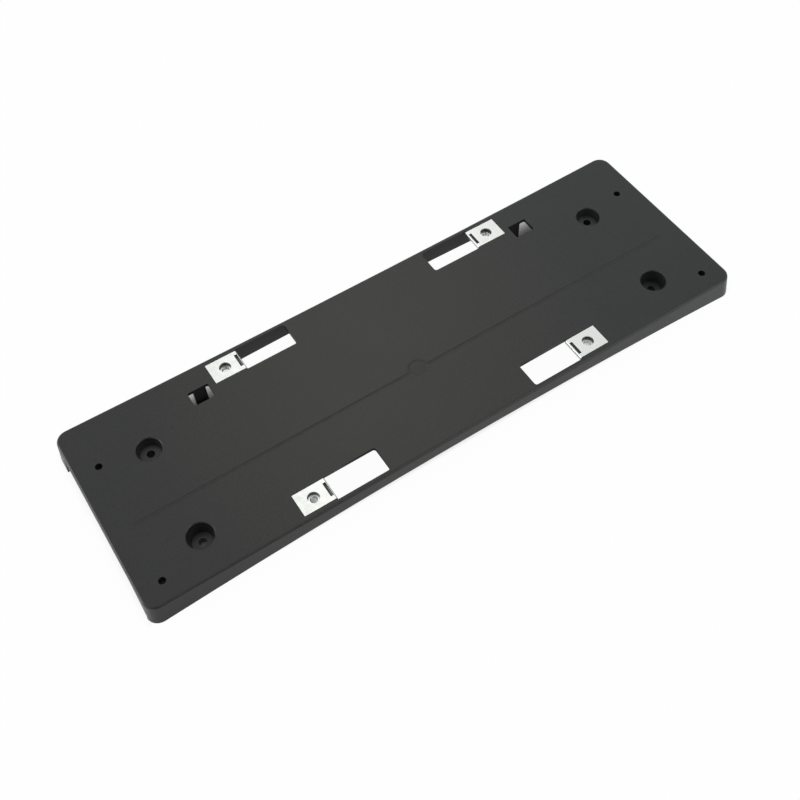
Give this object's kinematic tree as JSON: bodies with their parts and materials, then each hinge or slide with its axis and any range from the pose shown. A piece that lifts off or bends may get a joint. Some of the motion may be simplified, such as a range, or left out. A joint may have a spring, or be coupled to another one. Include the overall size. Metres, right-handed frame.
{
  "type": "number plate holder",
  "caption": "Moulded front number plate holder: flat rounded panel, skirt trimmed to a curved bumper, screw recesses, snap hooks and sheet metal nut clips in slots.",
  "frame": {"origin": "middle of the four plate screws, on the front face that the plate lies on", "axes": "+X along the holder's length, +Y towards the long edge with the hooks, +Z out of the front face, away from the bumper"},
  "size_m": [0.447, 0.1458, 0.02],
  "materials": {
    "black_plastic": "fine satin grain",
    "zinc_steel": "bright zinc plating"
  },
  "bodies": {
    "root": {"panel": "black_plastic", "nut_clip_far_left": "zinc_steel", "nut_clip_far_right": "zinc_steel", "nut_clip_near_left": "zinc_steel", "nut_clip_near_right": "zinc_steel"}
  },
  "joints": []
}
